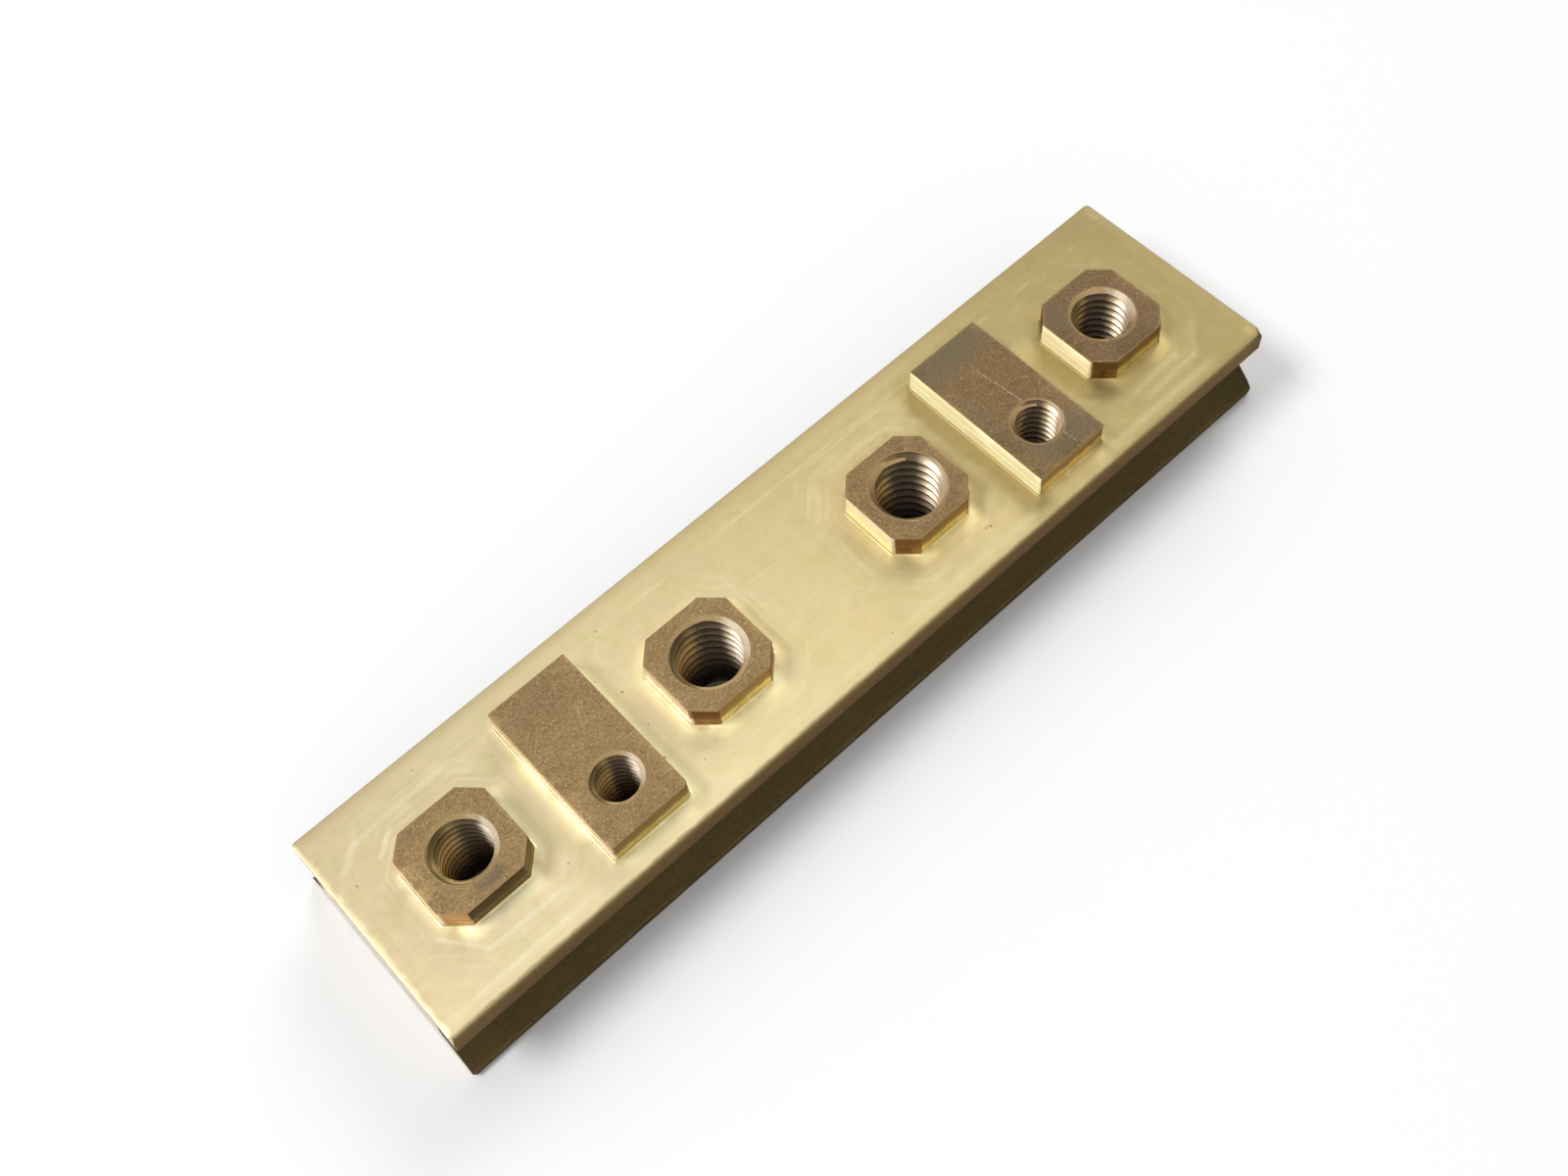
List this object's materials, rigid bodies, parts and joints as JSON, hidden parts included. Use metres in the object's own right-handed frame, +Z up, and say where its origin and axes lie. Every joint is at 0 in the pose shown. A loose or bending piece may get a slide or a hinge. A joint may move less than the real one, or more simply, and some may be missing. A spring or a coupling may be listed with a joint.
{
  "type": "earth terminal bar",
  "caption": "Solid brass bar with side grooves, its top milled down round octagonal screw seats and oblong pads with tapped holes, for joining earth wires.",
  "frame": {"origin": "centre of the underside, which the bar rests on", "axes": "+X along the bar towards its square end, +Y across it away from the pads' tapped holes, +Z up out of the seats"},
  "size_m": [0.0822, 0.0198, 0.01],
  "materials": {
    "brass": "milled floor and walls, brown oxidised skin on seats and section sides"
  },
  "bodies": {
    "root": {"terminal_bar": "brass"}
  },
  "joints": []
}
